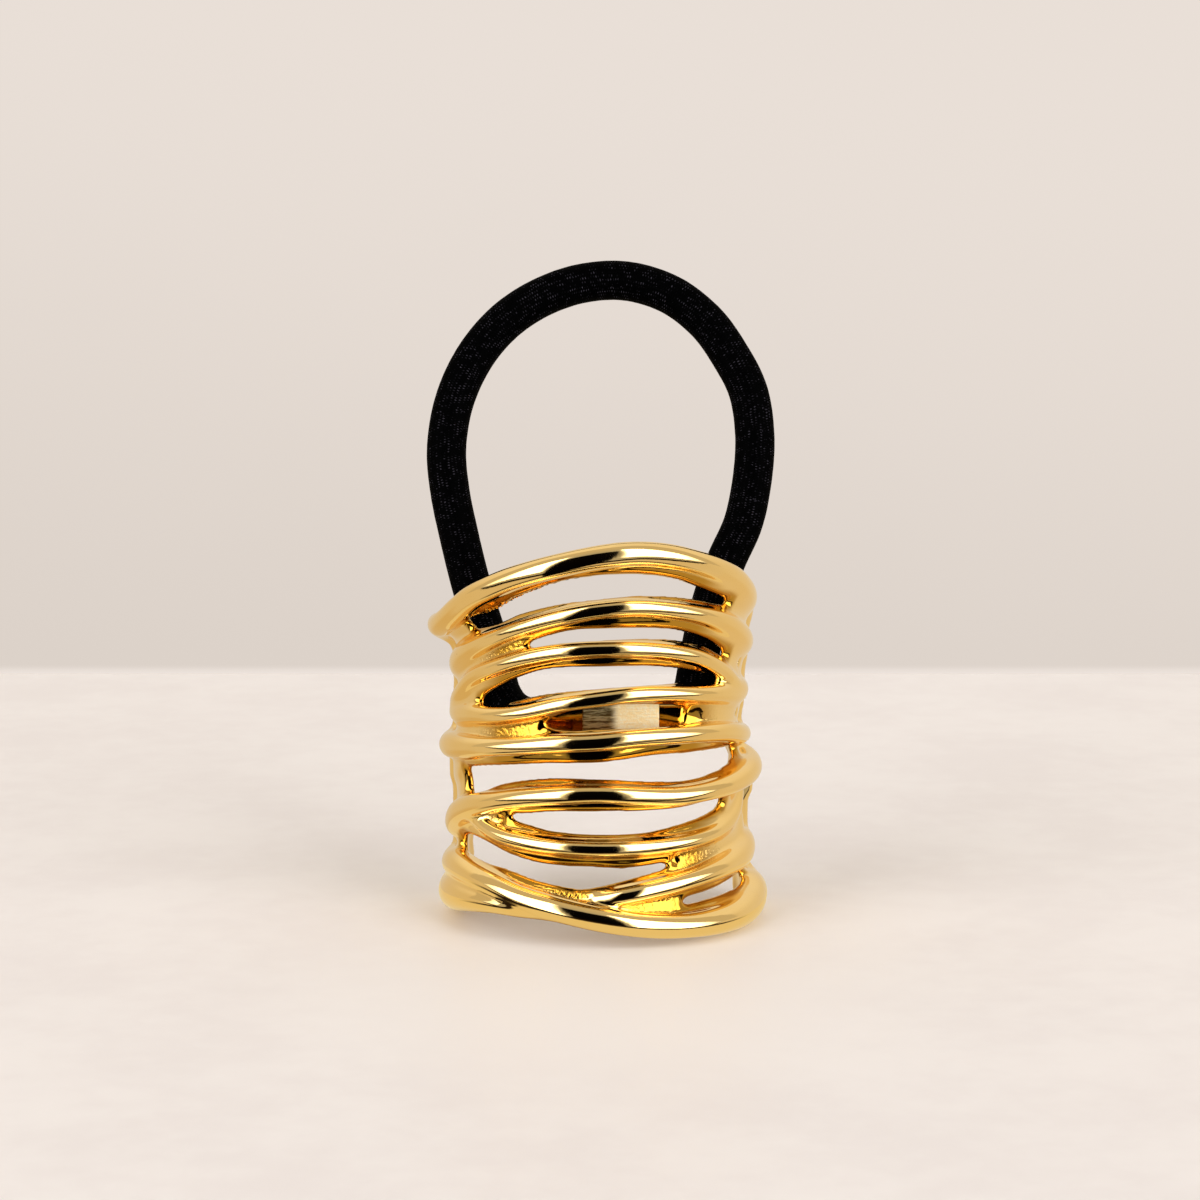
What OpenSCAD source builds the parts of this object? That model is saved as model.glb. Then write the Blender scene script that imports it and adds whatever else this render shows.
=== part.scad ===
// Metal cuff hair tie: a cast cuff of fused wires, open at the back, with an elastic loop
// held to a bar inside it by a crimped band. It stands on its lower rim. The origin is the
// middle of the hair passage at floor level, and the front faces -Y.

/* [Cuff] */
// Half the angle that the cuff covers, measured from the front
end_angle = 105; // [98:1:115]
// Thickness of the wall between the wires
web_t = 1.5; // [1.2:0.1:1.8]
// Thickness of the flat foot that each wire stands on
foot_t = 0.9; // [0.7:0.1:1]
// Radius of the rounded posts that close both ends of the cuff
post_r = 1.2; // [1:0.05:1.3]

/* [Holder bar] */
// Thickness of the bar soldered across the inside
bar_t = 0.9; // [0.8:0.1:1.2]
// Height of the bar
bar_h = 4.2; // [3:0.1:4.3]
// Distance of the bar's front face from the axis
bar_y = 11.3; // [11.2:0.05:11.4]
// Height of the bar's middle above the floor
bar_z = 24.1; // [23.9:0.1:24.3]

/* [Crimp band] */
// Width of the band along the bar
band_w = 8.4; // [7.5:0.1:9]
// Place of the band's middle along the bar
band_x = 2.5; // [2:0.1:3]
// Thickness of the sheet
band_t = 0.5; // [0.4:0.05:0.6]
// Clearance between the band, the bar and the elastic
fit_gap = 0.15; // [0.12:0.01:0.2]

/* [Elastic] */
// Diameter of the covered elastic
elastic_d = 4.5; // [4.3:0.1:4.6]

/* [Hidden] */
gold = "#d9ab4e";
brass = "#c9b07a";
black = "#17161a";
// Angle between two rings of a wire or web
ring_step = 7.5;
// Points on a wire's rounded crest, and the half angle that they cover
crest_points = 5;
crest_half_angle = 72;
// Size of the bevel on a wire's foot
bevel = 0.35;
// How far a web's edges reach into the two wires, which differs from web to web so that no
// two of them share an edge
web_inset = 0.1;
web_stagger = 0.023;
web_cycle = 5;
post_sides = 10;
// How far the bar's ends sink into the wall
bar_seat = 0.5;
band_sides = 48;
elastic_sides = 10;
rings_per_span = 2;
// A direction that the elastic never runs along, which keeps its sides from twisting
elastic_lean = [0, -0.95, 0.3];
// Half the stretch of route, in points, that gives the elastic's direction
direction_reach = 0.05;

// The ten wires from the top down. Columns: crest radius at the left side, crest radius at
// the right side, depth from crest to inner face, half height of the foot, radius of the
// rounded crest, height of the crest above the foot's middle, and [angle, height] round the
// cuff, from left to right with the front at 0.
WIRES = [
    [19.2, 17.9, 2.0, 1.75, 1.25, 0.5,
        [[-105, 31.6], [-90, 33.6], [-60, 37.6], [-30, 41.0], [0, 43.5], [15, 43.8],
         [30, 43.2], [60, 40.0], [75, 37.9], [90, 36.1], [105, 34.6]]],
    [16.8, 17.5, 2.2, 1.6, 0.95, 0.4,
        [[-105, 26.8], [-90, 28.4], [-60, 31.8], [-30, 35.2], [0, 37.5], [15, 37.7],
         [30, 37.1], [60, 34.4], [75, 32.6], [90, 31.0], [105, 29.8]]],
    [16.7, 16.8, 2.1, 1.4, 0.9, 0.4,
        [[-88, 24.2], [-75, 26.0], [-60, 28.4], [-45, 30.2], [-15, 32.7], [0, 33.1],
         [15, 33.0], [30, 32.4], [45, 31.2], [60, 29.2], [72, 27.2], [80, 26.2]]],
    [16.8, 17.0, 2.1, 1.3, 0.95, 0.1,
        [[-105, 22.8], [-90, 23.2], [-60, 24.4], [-30, 25.9], [-15, 27.0], [0, 27.8],
         [30, 28.0], [60, 26.9], [90, 26.0], [105, 25.4]]],
    [17.7, 17.3, 2.5, 1.4, 1.05, 0.4,
        [[-105, 18.8], [-90, 19.3], [-60, 20.8], [-30, 22.2], [0, 23.1], [30, 23.3],
         [60, 22.4], [75, 21.6], [90, 20.7], [105, 20.0]]],
    [17.1, 18.6, 2.4, 1.6, 1.05, -0.1,
        [[-105, 9.4], [-90, 10.6], [-75, 12.5], [-60, 14.2], [-30, 16.6], [0, 17.5],
         [30, 16.9], [60, 17.1], [90, 17.3], [105, 17.2]]],
    [16.6, 16.6, 2.0, 1.6, 1.0, 0,
        [[-66, 13.6], [-58, 12.8], [-45, 11.9], [-30, 11.4], [0, 11.1], [30, 11.1],
         [60, 11.6], [75, 12.6], [86, 14.6], [94, 16.6]]],
    [17.6, 19.3, 2.9, 1.8, 1.35, 0.1,
        [[-105, 5.8], [-90, 6.5], [-60, 6.6], [-45, 6.1], [-30, 5.2], [0, 3.7],
         [30, 2.3], [60, 1.8], [90, 2.3], [105, 2.1]]],
    [17.2, 17.9, 2.5, 1.3, 1.05, 0.1,
        [[-4, 4.4], [8, 5.5], [15, 6.1], [45, 7.3], [60, 7.7], [90, 8.1], [105, 7.9]]],
    [17.9, 17.4, 3.0, 2.2, 1.35, 0.5,
        [[-105, 2.4], [-90, 2.4], [-75, 2.5], [-60, 2.7], [-40, 3.0], [-20, 3.3], [-12, 3.5]]]
];

// The stretches of wall that close the cuff between two wires. Columns: upper wire, lower
// wire, first angle and last angle. No web ends at an angle where a wire has a ring.
WEBS = [
    [0, 1, -103.6, -61.6], [0, 1, 61.6, 104.4],
    [1, 2, -84.4, -27.4], [1, 3, -102.4, -80], [1, 2, 64.2, 77], [1, 3, 72.6, 103.2],
    [2, 3, -85.4, -52.2], [2, 3, 55.6, 78.6],
    [3, 4, -104.2, -21.4], [3, 4, 40.2, 104.2],
    [4, 5, -103.4, -64.4], [4, 5, 75.8, 102.8],
    [5, 6, -64.2, -38.6], [5, 6, 57.4, 92.4],
    [5, 7, -103.8, -70.6], [5, 8, 82.2, 104.4], [6, 8, 31, 93],
    [7, 9, -102.6, -15.6], [8, 7, -2.6, 32.2], [8, 7, 82, 102.8]
];

// The elastic's middle line from one end to the other, both inside the crimp band
ROUTE = [
    [3.0, -8.0, 24.1], [4.8, -8.0, 24.1], [6.6, -8.0, 24.1], [8.4, -7.8, 24.5],
    [9.9, -7.1, 25.6], [10.7, -6.1, 27.3], [11.2, -4.7, 29.8], [11.9, -2.6, 32.8],
    [12.9, 0.0, 36.2], [14.5, 2.0, 40.2], [16.4, 2.8, 44.4], [17.4, 3.6, 49.2],
    [17.7, 4.6, 54.0], [17.0, 5.8, 58.8], [15.0, 6.8, 62.8], [12.2, 7.7, 66.6],
    [8.2, 8.5, 69.6], [3.2, 9.0, 71.1], [-2.0, 8.9, 70.8], [-6.8, 8.4, 69.1],
    [-10.8, 7.7, 66.4], [-14.0, 6.8, 62.6], [-16.2, 5.7, 57.9], [-17.1, 4.4, 52.7],
    [-16.7, 3.4, 47.8], [-15.7, 2.6, 43.0], [-14.7, 1.8, 38.9], [-13.7, 0.7, 35.5],
    [-12.7, -0.7, 32.6], [-11.9, -2.2, 30.2], [-11.4, -3.9, 28.2], [-10.8, -5.5, 26.4],
    [-9.7, -6.9, 25.0], [-8.2, -7.8, 24.3], [-6.4, -8.0, 24.1], [-3.4, -8.0, 24.1],
    [-0.4, -8.0, 24.1], [2.6, -8.0, 24.1]
];

function crest(w, a) = (w[0] + w[1]) / 2 + (w[1] - w[0]) / 2 * sin(a);
function depth(w) = w[2];
function foot(w) = w[3];
function tube(w) = w[4];
function lift(w) = w[5];
function course(w) = w[6];
function first(w) = course(w)[0][0];
function last(w) = course(w)[len(course(w)) - 1][0];

// Height of a course at an angle, on a smooth curve through its pairs
function slope(c, i) =
    let (lo = max(i - 1, 0), hi = min(i + 1, len(c) - 1))
    (c[hi][1] - c[lo][1]) / (c[hi][0] - c[lo][0]);
function span_at(c, a, i = 0) = i >= len(c) - 2 || a < c[i + 1][0] ? i : span_at(c, a, i + 1);
function height(c, a) =
    let (
        i = span_at(c, a),
        d = c[i + 1][0] - c[i][0],
        t = (a - c[i][0]) / d
    )
    c[i][1] * (2 * t * t * t - 3 * t * t + 1)
    + slope(c, i) * d * (t * t * t - 2 * t * t + t)
    + c[i + 1][1] * (3 * t * t - 2 * t * t * t)
    + slope(c, i + 1) * d * (t * t * t - t * t);

// A point on the cuff at an angle from the front
function round_at(r, a, z) = [r * sin(a), -r * cos(a), z];
function steps(from, to, step) =
    let (n = max(1, round((to - from) / step)))
    [for (i = [0:n]) from + (to - from) * i / n];

// A wire's cross-section: [depth below the crest, height] from the inner face round
function wire_section(w) =
    let (
        d = depth(w),
        f = foot(w),
        t = tube(w),
        up = lift(w),
        turn = 2 * crest_half_angle / (crest_points - 1)
    )
    concat(
        [[d, bevel - f], [d, f - bevel], [d - bevel, f], [d - foot_t, f - bevel / 2]],
        [for (a = [crest_half_angle:-turn:-crest_half_angle]) [t * (1 - cos(a)), up + t * sin(a)]],
        [[d - foot_t, bevel / 2 - f], [d - bevel, -f]]
    );

// Joins rings of points into one closed solid
module sweep(rings) {
    n = len(rings[0]);
    m = len(rings);
    polyhedron(
        points = [for (ring = rings) for (p = ring) p],
        faces = concat(
            [[for (i = [0:n - 1]) i]],
            [[for (i = [n - 1:-1:0]) (m - 1) * n + i]],
            [for (j = [0:m - 2]) for (i = [0:n - 1])
                [j * n + i, (j + 1) * n + i, (j + 1) * n + (i + 1) % n, j * n + (i + 1) % n]]
        ),
        convexity = 8
    );
}

module wire(w) {
    sweep([
        for (a = steps(first(w), last(w), ring_step))
            [for (p = wire_section(w)) round_at(crest(w, a) - p[0], a, height(course(w), a) + p[1])]
    ]);
}

module web(row, inset) {
    upper = WIRES[row[0]];
    lower = WIRES[row[1]];
    sweep([
        for (a = steps(row[2], row[3], ring_step))
            let (
                hi = height(course(upper), a) + inset,
                lo = height(course(lower), a) - inset,
                hi_in = crest(upper, a) - depth(upper) + inset,
                lo_in = crest(lower, a) - depth(lower) + inset
            )
            [
                round_at(lo_in, a, lo),
                round_at(hi_in, a, hi),
                round_at(hi_in + web_t, a, hi),
                round_at(lo_in + web_t, a, lo)
            ]
    ]);
}

// The rounded post down one end of the cuff, from wire to wire
module end_post(side) {
    a = side * end_angle;
    whole = [for (w = WIRES) if ((side < 0 ? first(w) : last(w)) == a) w];
    for (i = [0:len(whole) - 2])
        hull()
            for (w = [whole[i], whole[i + 1]])
                translate(round_at(crest(w, a) - depth(w) + post_r, a, height(course(w), a)))
                    sphere(r = post_r, $fn = post_sides);
}

// The flat bar is a chord of the hair passage, soldered to the wall at both ends
module holder_bar() {
    wall_r = crest(WIRES[3], 0) - depth(WIRES[3]);
    half = sqrt(wall_r * wall_r - bar_y * bar_y) + bar_seat;
    translate([-half, -bar_y, bar_z - bar_h / 2])
        cube([2 * half, bar_t, bar_h]);
}

module wire_cuff() {
    color(gold) {
        for (w = WIRES) wire(w);
        for (i = [0:len(WEBS) - 1])
            web(WEBS[i], web_inset + web_stagger * (i % web_cycle));
        end_post(-1);
        end_post(1);
        holder_bar();
    }
}

// The band's outline from the side: flat over the bar, round behind the elastic
module band_outline(grow) {
    front = bar_y + fit_gap + grow;
    centre = -ROUTE[0][1];
    r = elastic_d / 2 + fit_gap + grow;
    translate([-centre, 0])
        circle(r = r, $fn = band_sides);
    translate([-front, -r])
        square([front - centre, 2 * r]);
}

module crimp_band() {
    color(brass)
        translate([band_x - band_w / 2, 0, ROUTE[0][2]])
            rotate([90, 0, 90])
                linear_extrude(band_w)
                    difference() {
                        band_outline(band_t);
                        band_outline(0);
                    }
}

// A point on the smooth curve through the route, t counted in points
function along(t) =
    let (
        n = len(ROUTE) - 1,
        i = min(floor(t), n - 1),
        u = t - i,
        p = [for (k = [-1:2]) ROUTE[max(0, min(n, i + k))]]
    )
    0.5 * (2 * p[1] + (p[2] - p[0]) * u + (2 * p[0] - 5 * p[1] + 4 * p[2] - p[3]) * u * u
        + (3 * p[1] - p[0] - 3 * p[2] + p[3]) * u * u * u);
function unit(v) = v / norm(v);
function direction(t) =
    unit(along(min(t + direction_reach, len(ROUTE) - 1)) - along(max(t - direction_reach, 0)));
function elastic_ring(t) =
    let (
        d = direction(t),
        side = unit(cross(d, elastic_lean)),
        up = cross(side, d)
    )
    [for (k = [0:elastic_sides - 1])
        along(t) + elastic_d / 2 * (side * cos(360 * k / elastic_sides)
            - up * sin(360 * k / elastic_sides))];

module elastic_loop() {
    color(black)
        sweep([for (k = [0:rings_per_span * (len(ROUTE) - 1)]) elastic_ring(k / rings_per_span)]);
}

wire_cuff();
crimp_band();
elastic_loop();
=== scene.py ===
import math
from collections import namedtuple

import bpy
import numpy as np
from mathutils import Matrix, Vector


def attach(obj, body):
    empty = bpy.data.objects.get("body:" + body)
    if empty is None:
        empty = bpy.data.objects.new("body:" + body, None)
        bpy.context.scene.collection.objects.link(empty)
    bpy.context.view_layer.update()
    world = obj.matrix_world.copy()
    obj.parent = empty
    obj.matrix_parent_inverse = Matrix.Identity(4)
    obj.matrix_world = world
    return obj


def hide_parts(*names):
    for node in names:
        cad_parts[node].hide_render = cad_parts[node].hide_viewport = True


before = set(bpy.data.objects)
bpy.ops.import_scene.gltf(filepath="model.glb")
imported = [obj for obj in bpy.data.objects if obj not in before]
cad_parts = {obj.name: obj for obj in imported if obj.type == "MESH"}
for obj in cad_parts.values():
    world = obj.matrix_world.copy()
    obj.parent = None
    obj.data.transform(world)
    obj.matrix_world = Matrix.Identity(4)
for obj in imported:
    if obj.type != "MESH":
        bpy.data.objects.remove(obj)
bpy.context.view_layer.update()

# Sizes are in millimetres down to the meshes, which are written in metres.
MM = 0.001
FRONT_VIEW = {"target": (0.225, 0, 36), "distance": 400, "elevation": 10, "width": 135}

# The elastic's middle line, from one end in the crimp sleeve round to the other
ELASTIC_ROUTE = [
    (3.0, -8.0, 24.1), (4.8, -8.0, 24.1), (6.6, -8.0, 24.1), (8.4, -7.8, 24.5),
    (9.9, -7.1, 25.6), (10.7, -6.1, 27.3), (11.2, -4.7, 29.8), (11.9, -2.6, 32.8),
    (12.9, 0.0, 36.2), (14.5, 2.0, 40.2), (16.4, 2.8, 44.4), (17.4, 3.6, 49.2),
    (17.7, 4.6, 54.0), (17.0, 5.8, 58.8), (15.0, 6.8, 62.8), (12.2, 7.7, 66.6),
    (8.2, 8.5, 69.6), (3.2, 9.0, 71.1), (-2.0, 8.9, 70.8), (-6.8, 8.4, 69.1),
    (-10.8, 7.7, 66.4), (-14.0, 6.8, 62.6), (-16.2, 5.7, 57.9), (-17.1, 4.4, 52.7),
    (-16.7, 3.4, 47.8), (-15.7, 2.6, 43.0), (-14.7, 1.8, 38.9), (-13.7, 0.7, 35.5),
    (-12.7, -0.7, 32.6), (-11.9, -2.2, 30.2), (-11.4, -3.9, 28.2), (-10.8, -5.5, 26.4),
    (-9.7, -6.9, 25.0), (-8.2, -7.8, 24.3), (-6.4, -8.0, 24.1), (-3.4, -8.0, 24.1),
    (-0.4, -8.0, 24.1), (2.6, -8.0, 24.1),
]
ELASTIC_WIDTH = 4.5
ELASTIC_LENGTH = 140.3

# A wire of the cuff: crest radius at the left and right side, depth from crest to inner face,
# tube radius at the left side, front and right side, and the crest's height at angles from
# the left round to the right, with the front at 0
Wire = namedtuple("Wire", "left right depth at_left at_front at_right crest")
# The wires from the top down
WIRES = {
    "rim": Wire(19.2, 17.9, 2.0, 1.35, 1.28, 1.8, [
        (-105, 31.9), (-90, 33.2), (-80, 33.8), (-70, 34.9), (-60, 36.6), (-52, 38.1),
        (-45, 39.2), (-30, 41.2), (-15, 42.7), (0, 43.7), (15, 44.0), (30, 43.3), (45, 41.9),
        (60, 40.1), (75, 38.0), (90, 36.2), (105, 34.8)]),
    "second": Wire(16.8, 17.5, 2.2, 1.6, 0.92, 1.8, [
        (-105, 27.2), (-90, 28.7), (-75, 30.3), (-60, 32.0), (-45, 33.8), (-30, 35.5),
        (-15, 36.9), (0, 37.8), (15, 38.0), (30, 37.4), (45, 36.3), (60, 34.7), (75, 32.8),
        (90, 31.3), (105, 30.2)]),
    "third": Wire(16.7, 16.8, 2.1, 1.0, 0.88, 1.0, [
        (-88, 24.6), (-75, 26.2), (-60, 28.7), (-45, 30.5), (-30, 32.0), (-15, 33.0),
        (0, 33.4), (15, 33.3), (30, 32.7), (45, 31.5), (60, 29.4), (72, 27.4), (80, 26.6)]),
    "fourth": Wire(16.8, 17.0, 2.1, 1.4, 0.9, 1.5, [
        (-105, 22.9), (-90, 23.3), (-75, 23.8), (-60, 24.5), (-45, 25.1), (-30, 26.0),
        (-15, 27.2), (0, 27.9), (15, 28.3), (30, 28.1), (45, 27.5), (60, 26.9), (75, 26.3),
        (90, 25.9), (105, 25.4)]),
    "fifth": Wire(18.0, 17.3, 2.8, 1.5, 1.05, 1.15, [
        (-105, 19.1), (-90, 19.5), (-75, 20.2), (-60, 20.9), (-45, 21.7), (-30, 22.4),
        (-15, 23.0), (0, 23.3), (15, 23.6), (30, 23.5), (45, 23.2), (60, 22.6), (75, 21.6),
        (90, 20.7), (105, 20.2)]),
    "sixth": Wire(17.4, 18.6, 2.6, 1.7, 1.08, 1.4, [
        (-105, 9.2), (-90, 10.4), (-75, 12.4), (-60, 14.1), (-45, 15.5), (-30, 16.6),
        (-15, 17.3), (0, 17.6), (15, 17.3), (30, 16.9), (45, 16.9), (60, 17.0), (75, 17.1),
        (90, 17.1), (105, 17.1)]),
    "seventh": Wire(16.6, 16.6, 2.0, 0.95, 0.98, 1.1, [
        (-66, 13.6), (-60, 13.0), (-45, 11.8), (-30, 11.4), (-15, 11.2), (0, 11.1),
        (30, 11.1), (45, 11.2), (60, 11.6), (75, 12.5), (86, 14.6), (94, 16.6)]),
    "base": Wire(17.8, 19.3, 3.0, 1.6, 1.42, 2.05, [
        (-105, 5.6), (-90, 5.9), (-75, 6.5), (-60, 6.6), (-45, 6.2), (-30, 5.3), (-15, 4.5),
        (0, 3.65), (15, 2.85), (30, 2.3), (45, 2.0), (60, 1.9), (75, 2.0), (90, 2.4), (105, 2.2)]),
    "right_foot": Wire(17.2, 17.9, 2.5, 1.1, 1.1, 1.7, [
        (-4, 4.5), (0, 5.2), (15, 6.2), (30, 6.8), (45, 7.3), (60, 7.6), (75, 7.6), (90, 7.8),
        (105, 7.8)]),
    "left_foot": Wire(18.2, 17.4, 3.2, 2.2, 1.2, 1.2, [
        (-105, 2.5), (-90, 2.6), (-75, 3.2), (-60, 3.8), (-45, 4.2), (-30, 4.3), (-12, 4.3)]),
}
# Where a wire's crest leaves its even course: angle, half width of the stretch, and amount
SWELLS = {
    "rim": (-20, 12, 0.4),
    "sixth": (-15, 15, 0.25),
    "right_foot": (-2, 10, -0.9),
}
# The openings between the wires, on the inner face: angle, lower edge and upper edge
OPENINGS = [
    [(-62, 34.3, 35.0), (-45, 35.6, 36.6), (-33, 37.0, 38.3), (-15, 38.4, 40.4),
     (0, 39.0, 41.2), (15, 39.3, 41.25), (30, 39.0, 40.5), (45, 38.2, 38.9),
     (55, 37.5, 37.8), (62, 37.0, 37.15)],
    [(-30, 33.1, 33.3), (-20, 33.8, 34.3), (-10, 34.2, 35.0), (0, 34.4, 35.2),
     (15, 34.5, 35.2), (30, 34.2, 34.8), (40, 33.6, 34.1), (50, 32.8, 33.1),
     (58, 31.8, 32.05), (65, 30.9, 31.1)],
    [(-57, 25.6, 26.3), (-50, 26.0, 27.3), (-35, 27.3, 29.3), (-20, 28.4, 30.6),
     (0, 29.1, 31.0), (20, 29.3, 30.9), (35, 29.2, 30.3), (45, 28.9, 29.6),
     (52, 28.5, 29.0), (59, 28.2, 28.5)],
    [(-22, 24.6, 24.9), (-12, 24.4, 26.0), (0, 24.6, 26.7), (17, 24.6, 26.7),
     (30, 24.5, 26.4), (38, 24.4, 25.9)],
    [(-68, 15.1, 17.8), (-55, 16.3, 18.6), (-41, 17.8, 19.3), (-21, 19.0, 20.1),
     (0, 19.2, 20.4), (23, 18.7, 20.9), (37, 18.4, 20.7), (53, 18.7, 20.4), (70, 19.1, 19.9),
     (80, 19.3, 19.6)],
    [(-39, 13.7, 13.9), (-30, 13.4, 14.2), (-20, 13.0, 14.7), (0, 12.8, 15.0),
     (20, 12.8, 14.9), (35, 13.2, 14.8), (50, 13.6, 15.0), (58, 13.9, 14.7), (63, 14.1, 14.4)],
    [(-78, 8.1, 9.2), (-70, 8.0, 9.9), (-55, 8.1, 9.9), (-40, 8.0, 9.2), (-25, 7.3, 8.7),
     (-14, 6.9, 8.6), (-8, 6.7, 8.6), (-2, 6.9, 8.6), (10, 7.6, 8.4), (23, 8.3, 8.6),
     (30, 8.6, 8.7)],
    [(35.5, 4.3, 4.4), (41, 4.3, 4.6), (52, 4.4, 4.7), (66, 4.3, 4.9), (78, 4.1, 4.8),
     (86, 4.0, 4.5)],
]
# How far an opening widens for each millimetre outwards: upwards, downwards, sideways, and
# to the right for the opening over the bar
FLARE = (0.7, 0.5, 0.4, 2.2)
# Where an opening widens: depths from the inner face that it starts and stops at
FLARE_DEPTH = (-0.3, 2.5)
# Which of the openings lies over the bar
OVER_BAR = 3
# How softly an opening's corners are rounded
OPENING_CORNER = 1.2
# An opening's edges slant, so they are nearer than their height says, by this share
SLANT_SHARE = 0.85
# Casting pits in the corners where wires part: angle, height and radius
PITS = [
    (-43.5, 13.4, 0.5), (32.8, 9.2, 0.6), (77.5, 23.9, 0.4), (79.5, 29.5, 0.45),
    (-60.5, 34.4, 0.35), (-23, 24.3, 0.35), (17, 5.9, 0.4),
]
# How far out from the inner face the middle of a pit lies
PIT_PLACE = 1.1
CUFF_END = 105
POST_RADIUS = 1.2
BAR = {"centre": (0, -10.85, 24.1), "half": (10.0, 0.45, 2.1), "edge": 0.15}
# The wall between the wires: its thickness and what it gains past an angle, and how far it
# goes past the top and bottom crests
WALL = {"thickness": 0.95, "gain": 0.25, "side": 38, "spread": 30, "over_rim": 0.6,
        "under_base": 0.9}
# How softly each part melts into the wall, or an edge is rounded
SOFT = {"opening": 0.5, "rim": 0.4, "end": 0.4, "wire": 0.35, "wire_gain": 0.3, "post": 0.6,
        "pit": 0.3, "inner": 0.5, "bar": 0.5}
# Past this angle the left foot's lower edge fades upwards, and the base is the lowest crest
FOOT_END = -22
FOOT_SPREAD = 10
FOOT_LIFT = 3
# The angle past which a tube goes over to its side radius, and how long that takes
TUBE_SIDE = 35
TUBE_SPREAD = 50
RIPPLE = 0.02
# The inner face follows a wire within this height and past its ends by this angle, and less
# so the further its crest lies outside the middle radius
INNER_REACH = 2.2
END_FADE = 8
MIDDLE_RADIUS = 17
TINY = 1e-9


class Tree:
    """A node tree as it is written."""

    def __init__(self, tree):
        self.tree = tree
        tree.nodes.clear()

    def node(self, kind, settings=None, feeds=None):
        """Adds a node: its settings first, then the values or links of its sockets."""
        made = self.tree.nodes.new(kind)
        for name, value in (settings or {}).items():
            setattr(made, name, value)
        for key, value in (feeds or {}).items():
            self.feed(made.inputs[key], value)
        return made

    def feed(self, socket, value):
        if isinstance(value, Value):
            value = value.socket
        if isinstance(value, bpy.types.NodeSocket):
            self.tree.links.new(value, socket)
        else:
            socket.default_value = value

    def value(self, kind, settings=None, feeds=None, out=0):
        return Value(self, self.node(kind, settings, feeds).outputs[out])

    def maths(self, operation, *numbers):
        return self.value("ShaderNodeMath", {"operation": operation}, dict(enumerate(numbers)))

    def rise(self, number, low, high):
        """0 below low, 1 above high, and a smooth step between them."""
        return self.value("ShaderNodeMapRange", {"interpolation_type": "SMOOTHSTEP"},
                          {"Value": number, "From Min": low, "From Max": high})

    def between(self, number, low, high, soft):
        """1 from low to high, fading out over soft on either side."""
        return self.rise(number, low - soft, low) * (1 - self.rise(number, high, high + soft))

    def mix(self, share, first, second):
        """A colour between two colours, which have sockets 6 and 7 in and 2 out."""
        made = self.node("ShaderNodeMix", {"data_type": "RGBA"}, {
            "Factor": share, 6: first, 7: second})
        return made.outputs[2]

    def noise(self, place, scale, detail=2.0, roughness=0.5):
        return self.value("ShaderNodeTexNoise", None, {
            "Vector": place, "Scale": scale, "Detail": detail, "Roughness": roughness})


class Value:
    """A number in a node tree. Working on it adds Math nodes."""

    def __init__(self, tree, socket):
        self.tree = tree
        self.socket = socket

    def __add__(self, other):
        return self.tree.maths("ADD", self, other)

    def __mul__(self, other):
        return self.tree.maths("MULTIPLY", self, other)

    def __sub__(self, other):
        return self.tree.maths("SUBTRACT", self, other)

    def __rsub__(self, other):
        return self.tree.maths("SUBTRACT", other, self)

    __radd__ = __add__
    __rmul__ = __mul__


def colour(red, green, blue):
    """A colour for a socket, from its share of red, green and blue as a screen shows it."""
    return tuple(((c + 0.055) / 1.055) ** 2.4 if c > 0.04045 else c / 12.92
                 for c in (red, green, blue)) + (1.0,)


def new_material(name):
    made = bpy.data.materials.new(name)
    made.use_nodes = True
    return made, Tree(made.node_tree)


def new_piece(name, points, faces, material=None):
    mesh = bpy.data.meshes.new(name)
    mesh.from_pydata(points, [], faces)
    mesh.update()
    piece = bpy.data.objects.new(name, mesh)
    bpy.context.scene.collection.objects.link(piece)
    if material:
        mesh.materials.append(material)
    return piece


def add_camera():
    view = FRONT_VIEW
    lean = math.radians(view["elevation"])
    target = Vector(view["target"]) * MM
    back = Vector((0, -math.cos(lean), math.sin(lean)))
    data = bpy.data.cameras.new("front_camera")
    camera = bpy.data.objects.new("front_camera", data)
    bpy.context.scene.collection.objects.link(camera)
    data.sensor_width = 36
    data.lens = data.sensor_width * view["distance"] / view["width"]
    data.clip_start = 0.01
    camera.location = target + back * view["distance"] * MM
    camera.rotation_euler = (-back).to_track_quat("-Z", "Y").to_euler()
    bpy.context.scene.camera = camera


def smooth_line(points, per_span):
    """Points close together on the smooth curve through points."""
    p = np.array([points[0], *points, points[-1]], float)
    made = []
    for i in range(len(points) - 1):
        a, b, c, d = p[i:i + 4]
        for u in np.arange(per_span) / per_span:
            made.append(0.5 * (2 * b + (c - a) * u + (2 * a - 5 * b + 4 * c - d) * u * u
                               + (3 * b - a - 3 * c + d) * u ** 3))
    made.append(p[-1])
    return np.array(made)


# Knitted elastic: columns of stitches run along it, and each stitch shows as a short dash, painted
# lighter on its raised top as a painted highlight
WALES = 30
DASH_PITCH = 0.3
KNIT_RELIEF = 0.05
CORD_RINGS = 760
CORD_SIDES = 48
ROUTE_STEPS = 12


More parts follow.
